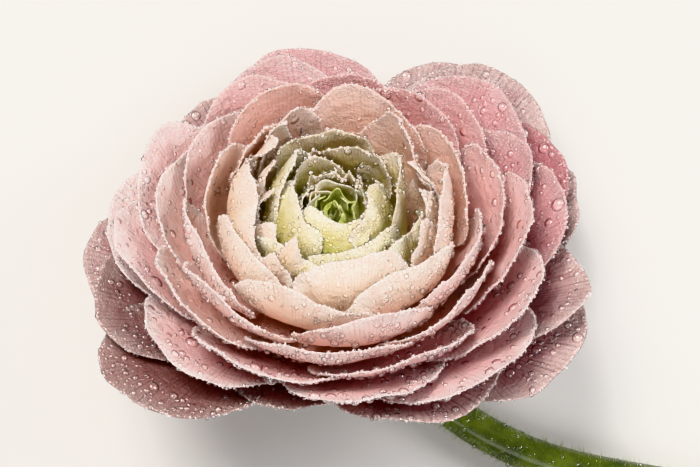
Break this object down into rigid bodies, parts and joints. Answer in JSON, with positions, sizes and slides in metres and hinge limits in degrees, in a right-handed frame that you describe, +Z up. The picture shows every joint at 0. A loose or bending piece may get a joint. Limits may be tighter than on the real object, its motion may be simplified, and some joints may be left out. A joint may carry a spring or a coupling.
{
  "type": "ranunculus flower",
  "caption": "Picked ranunculus flower lying on its side, an open bloom of layered cupped petals round a small green eye, on a plain cut stem that bends under the head.",
  "frame": {"origin": "centre of the bounding box at its base, on the surface that the flower lies on", "axes": "+Z up from the surface, +X along the length of the flower towards the cut end of the stem, +Y towards the side that the bloom leans to"},
  "size_m": [0.1368, 0.0834, 0.0458],
  "materials": {
    "guard_petal": "matt, dusky mauve, veined",
    "outer_petal": "satin, rose pink, veined",
    "middle_petal": "satin, peach pink, veined",
    "inner_petal": "satin, cream",
    "heart_petal": "satin, pale yellow-green",
    "eye": "satin, olive green",
    "sepal": "matt, hairy, brownish green",
    "stem": "satin, fleshy, green, finely hairy"
  },
  "bodies": {
    "root": {"guard_petals": "guard_petal", "outer_petals": "outer_petal", "middle_petals": "middle_petal", "inner_petals": "inner_petal", "heart_petals": "heart_petal", "eye": "eye", "sepals": "sepal", "stem": "stem"}
  },
  "joints": []
}
